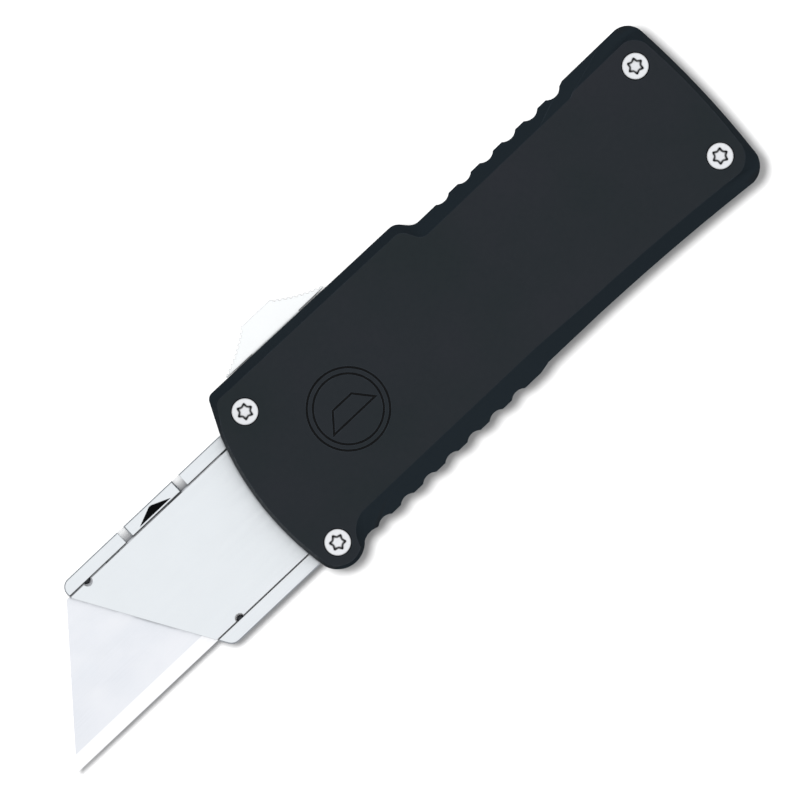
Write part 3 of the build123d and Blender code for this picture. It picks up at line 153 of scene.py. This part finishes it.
class Shader:
    """A principled material whose coordinates stay with the part."""

    def __init__(self, name, colour, metallic, roughness, specular=0.5):
        self.material = bpy.data.materials.new(name)
        self.material.use_nodes = True
        self.tree = self.material.node_tree
        self.main = self.tree.nodes["Principled BSDF"]
        self.main.inputs["Base Color"].default_value = (*colour, 1)
        self.main.inputs["Metallic"].default_value = metallic
        self.main.inputs["Roughness"].default_value = roughness
        self.main.inputs["Specular IOR Level"].default_value = specular
        coordinates = self.tree.nodes.new("ShaderNodeTexCoord")
        self.coordinates = coordinates.outputs["Object"]
        self.facing = coordinates.outputs["Normal"]

    def node(self, kind, **values):
        made = self.tree.nodes.new(kind)
        for key, value in values.items():
            setattr(made, key, value)
        return made

    def link(self, source, target):
        self.tree.links.new(source, target)

    def stretched(self, scale, turn=0.0):
        """The part's coordinates, turned about z and scaled differently along each axis."""
        mapping = self.node("ShaderNodeMapping")
        mapping.inputs["Scale"].default_value = scale
        mapping.inputs["Rotation"].default_value = (0, 0, turn)
        self.link(self.coordinates, mapping.inputs["Vector"])
        return mapping.outputs[0]

    def noise(self, scale, detail=3.0, stretch=(1, 1, 1), turn=0.0):
        """Noise between 0 and 1; scale is in cells per metre."""
        made = self.node("ShaderNodeTexNoise")
        made.inputs["Scale"].default_value = scale
        made.inputs["Detail"].default_value = detail
        self.link(self.stretched(stretch, turn), made.inputs["Vector"])
        return made.outputs["Fac"]

    def axis(self, source, name):
        """One coordinate of a vector."""
        made = self.node("ShaderNodeSeparateXYZ")
        self.link(source, made.inputs[0])
        return made.outputs[name]

    def between(self, value, low, high, start=0.3, end=0.7):
        """A number from low to high as the value goes from start to end."""
        made = self.node("ShaderNodeMapRange")
        made.inputs["From Min"].default_value = start
        made.inputs["From Max"].default_value = end
        made.inputs["To Min"].default_value = low
        made.inputs["To Max"].default_value = high
        self.link(value, made.inputs["Value"])
        return made.outputs[0]

    def combine(self, operation, first, second):
        """Arithmetic on two numbers."""
        made = self.node("ShaderNodeMath", operation=operation)
        for socket, value in zip(made.inputs, (first, second)):
            if isinstance(value, float):
                socket.default_value = value
            else:
                self.link(value, socket)
        return made.outputs[0]

    def mix(self, factor, first, second):
        """A colour between two colours."""
        made = self.node("ShaderNodeMix", data_type="RGBA")
        self.link(factor, made.inputs["Factor"])
        for socket, colour in zip(made.inputs[MIX_COLOURS], (first, second)):
            if isinstance(colour, tuple):
                socket.default_value = (*colour, 1)
            else:
                self.link(colour, socket)
        return made.outputs[MIX_RESULT]

    def crevice(self, reach):
        """From 0 in a narrow gap to 1 in the open."""
        made = self.node("ShaderNodeAmbientOcclusion", samples=GAP_SAMPLES)
        made.inputs["Distance"].default_value = reach
        return made.outputs["AO"]

    def edge(self, radius, full=0.93, none=0.995):
        """1 along sharp edges and 0 elsewhere."""
        rounded = self.node("ShaderNodeBevel", samples=EDGE_SAMPLES)
        rounded.inputs["Radius"].default_value = radius
        true = self.node("ShaderNodeNewGeometry")
        product = self.node("ShaderNodeVectorMath", operation="DOT_PRODUCT")
        self.link(rounded.outputs[0], product.inputs[0])
        self.link(true.outputs["Normal"], product.inputs[1])
        return self.between(product.outputs["Value"], 1.0, 0.0, full, none)

    def bump(self, height, distance, strength=1.0):
        made = self.node("ShaderNodeBump")
        made.inputs["Distance"].default_value = distance
        made.inputs["Strength"].default_value = strength
        self.link(height, made.inputs["Height"])
        self.link(made.outputs[0], self.main.inputs["Normal"])

    def paint(self, colour):
        self.link(colour, self.main.inputs["Base Color"])
        return self.material


SUNK_FLOOR_SHADE = (0.0008, 0.001, 0.0013)
INKED = (0.004, 0.0045, 0.005)
SOCKET_WALL_SHADE = (0.006, 0.0065, 0.008)
STEEL_GAP_SHADE = (0.03, 0.034, 0.04)
ANODISED_MIDDLE = (0.0065, 0.008, 0.01)
ANODISED_DARK = (0.0055, 0.0078, 0.0092)
ANODISED_LIGHT = (0.0072, 0.0084, 0.0108)
ANODISED_BEVEL_SHADE = (0.0037, 0.0064, 0.0088)
ANODISED_EDGE_WEAR_AND_HIGHLIGHT = (0.026, 0.033, 0.042)
ANODISED_GAP_SHADE = (0.001, 0.0012, 0.0015)
CARRIER_STEEL = (0.79, 0.825, 0.855)
SLOT_SHADE_INNER = (0.28, 0.285, 0.3)
SLOT_SHADE_OUTER = (0.98, 0.985, 0.99)
BLADE_STEEL = (0.8, 0.825, 0.875)
BLADE_CLOUD = (0.83, 0.845, 0.885)
BLADE_GROUND = (0.98, 0.985, 1.0)
SCREW_STEEL = (0.83, 0.845, 0.875)
SLIDE_ALUMINIUM = (0.905, 0.925, 0.935)
BLACK_STEEL = (0.012, 0.013, 0.015)
SPRING_STEEL = (0.5, 0.51, 0.53)
CAGE_STEEL = (0.58, 0.59, 0.61)
BUMPER_RUBBER = (0.014, 0.014, 0.014)
RIM = 0.12 * MM
GROUND_BAND = 2.0 * MM
BAND_BLUR = 0.05 * MM


def anodised():
    """Matte black anodising: blasted grain, bevels painted darker as shade, sunk floors (marking among
    them) painted black as shade, edges painted lighter as a highlight broken up like rubbed wear, gaps
    painted dark as shade.
    """
    s = Shader("anodised_black", ANODISED_MIDDLE, 0.0, 0.5, 0.12)
    cloud = s.between(s.noise(60, 4), 0.0, 1.0)
    face = s.mix(cloud, ANODISED_DARK, ANODISED_LIGHT)
    # painted shade: faces that slope away from the flat front face are painted darker
    flat = s.between(s.axis(s.facing, "Z"), 0.0, 1.0, 0.9, 0.995)
    colour = s.mix(flat, ANODISED_BEVEL_SHADE, face)
    # painted highlight along sharp edges, broken up by noise like rubbed wear
    edge_wear_and_highlight = s.combine("MULTIPLY", s.edge(RIM, 0.9, 0.985), s.between(s.noise(700, 2), 0.1, 0.7))
    colour = s.mix(edge_wear_and_highlight, colour, ANODISED_EDGE_WEAR_AND_HIGHLIGHT)
    # painted shade: flat floors sunk below the front face, such as the rings round the screw heads,
    # are painted black
    sunk = s.between(s.axis(s.coordinates, "Z"), 1.0, 0.0, FACE_Z - 0.1 * MM, FACE_Z - 0.04 * MM)
    colour = s.mix(s.combine("MULTIPLY", sunk, flat), colour, SUNK_FLOOR_SHADE)
    # painted shade: narrow gaps and grooves are painted near black from ambient occlusion
    open_air = s.between(s.crevice(0.5 * MM), 0.0, 1.0, 0.35, 0.8)
    colour = s.mix(open_air, ANODISED_GAP_SHADE, colour)
    s.link(s.between(s.noise(1500, 2), 0.46, 0.58), s.main.inputs["Roughness"])
    s.bump(s.noise(9000, 2), 0.01 * MM, 0.25)
    return s.paint(colour)


def steel(name, colour, along, roughness, contrast, rim=RIM, gap=0.6 * MM, turn=0.0, metallic=1.0):
    """Steel with fine lines along one axis, painted grey along its edges and dark in its gaps as
    shade.
    """
    s = Shader(name, colour, metallic, roughness)
    stretch = [1, 1, 1]
    stretch[along] = 0.03
    lines = s.noise(5000, 3, tuple(stretch), turn)
    cloud = s.noise(260, 3)
    grain = s.combine("ADD", s.combine("MULTIPLY", lines, 0.6), s.combine("MULTIPLY", cloud, 0.4))
    tint = s.mix(s.between(grain, 0.0, 1.0), tuple((1 - contrast) * c for c in colour), colour)
    s.link(s.between(lines, roughness - 0.05, roughness + 0.05), s.main.inputs["Roughness"])
    s.bump(lines, 0.005 * MM, 0.1)
    # painted shade: sharp edges are painted half as bright, like rounded edges turning away from the
    # light
    tint = s.mix(s.edge(rim), tint, tuple(0.5 * c for c in colour))
    # painted shade: narrow gaps are painted dark from ambient occlusion
    open_air = s.between(s.crevice(gap), 0.0, 1.0, 0.3, 0.85)
    return s, s.mix(open_air, STEEL_GAP_SHADE, tint)


def plain_steel(*settings, **more):
    """Steel with nothing more on it."""
    s, tint = steel(*settings, **more)
    return s.paint(tint)


def carrier_steel():
    """Fine satin steel, with the button's sunk sign blackened and the floors of its two slots painted
    darker inwards as shade.
    """
    s, tint = steel("carrier_steel", CARRIER_STEEL, 0, 0.38, 0.03)
    height = s.axis(s.coordinates, "Z")
    flat = s.between(s.axis(s.facing, "Z"), 0.0, 1.0, 0.93, 0.97)
    under = s.between(height, 1.0, 0.0, CARRIER_FRONT - 0.09 * MM, CARRIER_FRONT - 0.04 * MM)
    near = s.between(height, 0.0, 1.0, CARRIER_FRONT - 0.3 * MM, CARRIER_FRONT - 0.2 * MM)
    # painted shade: the flat slot floors, deep below the button, run from grey at the inner end to
    # near white at the outer end
    deep = s.between(height, 1.0, 0.0, CARRIER_FRONT - 2.4 * MM, CARRIER_FRONT - 2.0 * MM)
    across = s.axis(s.coordinates, "Y")
    shade = s.between(across, 0.0, 1.0, CARRIER_TOP - RAIL_WIDTH, CARRIER_TOP - 0.4 * MM)
    slot = s.mix(shade, SLOT_SHADE_INNER, SLOT_SHADE_OUTER)
    tint = s.mix(s.combine("MULTIPLY", deep, flat), tint, slot)
    sign = s.combine("MULTIPLY", s.combine("MULTIPLY", under, near), flat)
    return s.paint(s.mix(sign, tint, INKED))


def blade_steel():
    """Ground blade: clouded, lightly brushed body and a brighter ground band along its edge."""
    s, tint = steel("blade_steel", BLADE_STEEL, 0, 0.34, 0.07, rim=0.08 * MM, turn=0.15)
    cloud = s.between(s.noise(110, 5, (1, 1.6, 1), 0.5), 0.0, 1.0, 0.35, 0.65)
    tint = s.mix(cloud, tint, BLADE_CLOUD)
    limit = BLADE_EDGE + GROUND_BAND
    band = s.between(s.axis(s.coordinates, "Y"), 1.0, 0.0, limit - BAND_BLUR, limit + BAND_BLUR)
    return s.paint(s.mix(band, tint, BLADE_GROUND))


def screw_steel():
    """Bright heads with a soft rim painted darker as shade; the sloping walls of the sockets are
    painted dark as shade.
    """
    s, tint = steel("screw_steel", SCREW_STEEL, 0, 0.34, 0.14, rim=0.3 * MM, gap=0.35 * MM)
    # painted shade: steep socket walls are painted near black
    wall = s.between(s.axis(s.facing, "Z"), 1.0, 0.0, 0.7, 0.9)
    return s.paint(s.mix(wall, tint, SOCKET_WALL_SHADE))


def coated(name, colour, roughness, specular=0.25):
    """Matte dark coating or moulding with a fine grain, rubbed a little along its edges."""
    s = Shader(name, colour, 0.0, roughness, specular)
    cloud = s.between(s.noise(400, 3), 0.0, 1.0)
    tint = s.mix(cloud, tuple(0.75 * c for c in colour), colour)
    edge_wear_and_highlight = s.combine("MULTIPLY", s.edge(RIM), s.between(s.noise(900, 2), 0.0, 0.6))
    tint = s.mix(edge_wear_and_highlight, tint, tuple(3.0 * c for c in colour))
    patchy = s.between(s.noise(1800, 2), roughness - 0.06, roughness + 0.06)
    s.link(patchy, s.main.inputs["Roughness"])
    s.bump(s.noise(7000, 2), 0.01 * MM, 0.2)
    return s.paint(tint)


SLOTS = {
    "anodised_casing": anodised(),
    "carrier_steel": carrier_steel(),
    "blade_steel": blade_steel(),
    "slide_aluminium": plain_steel(
        "slide_aluminium", SLIDE_ALUMINIUM, 2, 0.36, 0.03, rim=0.16 * MM, gap=0.5 * MM, metallic=0.97
    ),
    "screw_steel": screw_steel(),
    "black_steel": coated("black_steel", BLACK_STEEL, 0.45),
    "spring_steel": plain_steel("spring_steel", SPRING_STEEL, 0, 0.35, 0.15),
    "cage_steel": plain_steel("cage_steel", CAGE_STEEL, 0, 0.4, 0.15),
    "bumper_rubber": coated("bumper_rubber", BUMPER_RUBBER, 0.75, 0.2),
}
for entry in frame["record"]["subparts"]:
    node = frame["nodes"][entry["node"]]
    node.data.materials.clear()
    node.data.materials.append(SLOTS[entry["material_slot"]])
